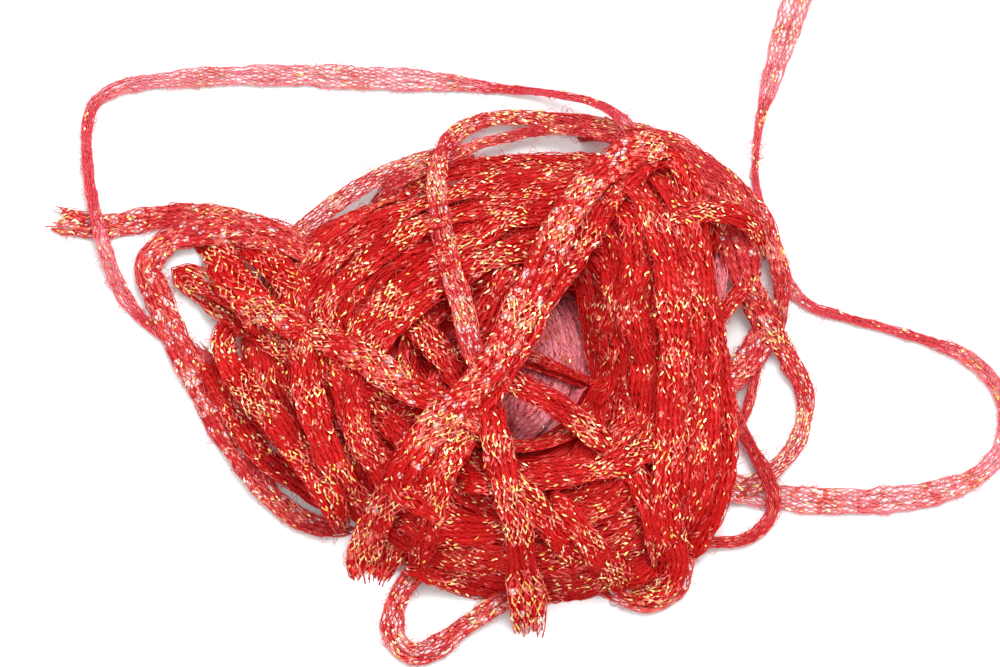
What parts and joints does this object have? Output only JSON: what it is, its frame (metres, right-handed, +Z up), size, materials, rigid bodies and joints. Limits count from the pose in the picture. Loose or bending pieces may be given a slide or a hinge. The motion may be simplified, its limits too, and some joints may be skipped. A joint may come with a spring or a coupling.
{
  "type": "loose hank of flat braid trim",
  "caption": "Flat open net braid of red yarn with gold flecks, thrown down in a low ring-shaped hank with a free loop and cut ends, for trimming cloth, hats and gifts.",
  "frame": {"origin": "on the table, under the middle of the whole part", "axes": "+X along the longest side, from the left cut end to the right loop; +Y away from the viewer; +Z up from the table"},
  "size_m": [0.2728, 0.2062, 0.026],
  "materials": {
    "net_braid": "translucent red yarn netted with flecks of gold film"
  },
  "bodies": {
    "root": {"hank": "net_braid", "left_end": "net_braid", "top_loop": "net_braid", "right_end": "net_braid"}
  },
  "joints": []
}
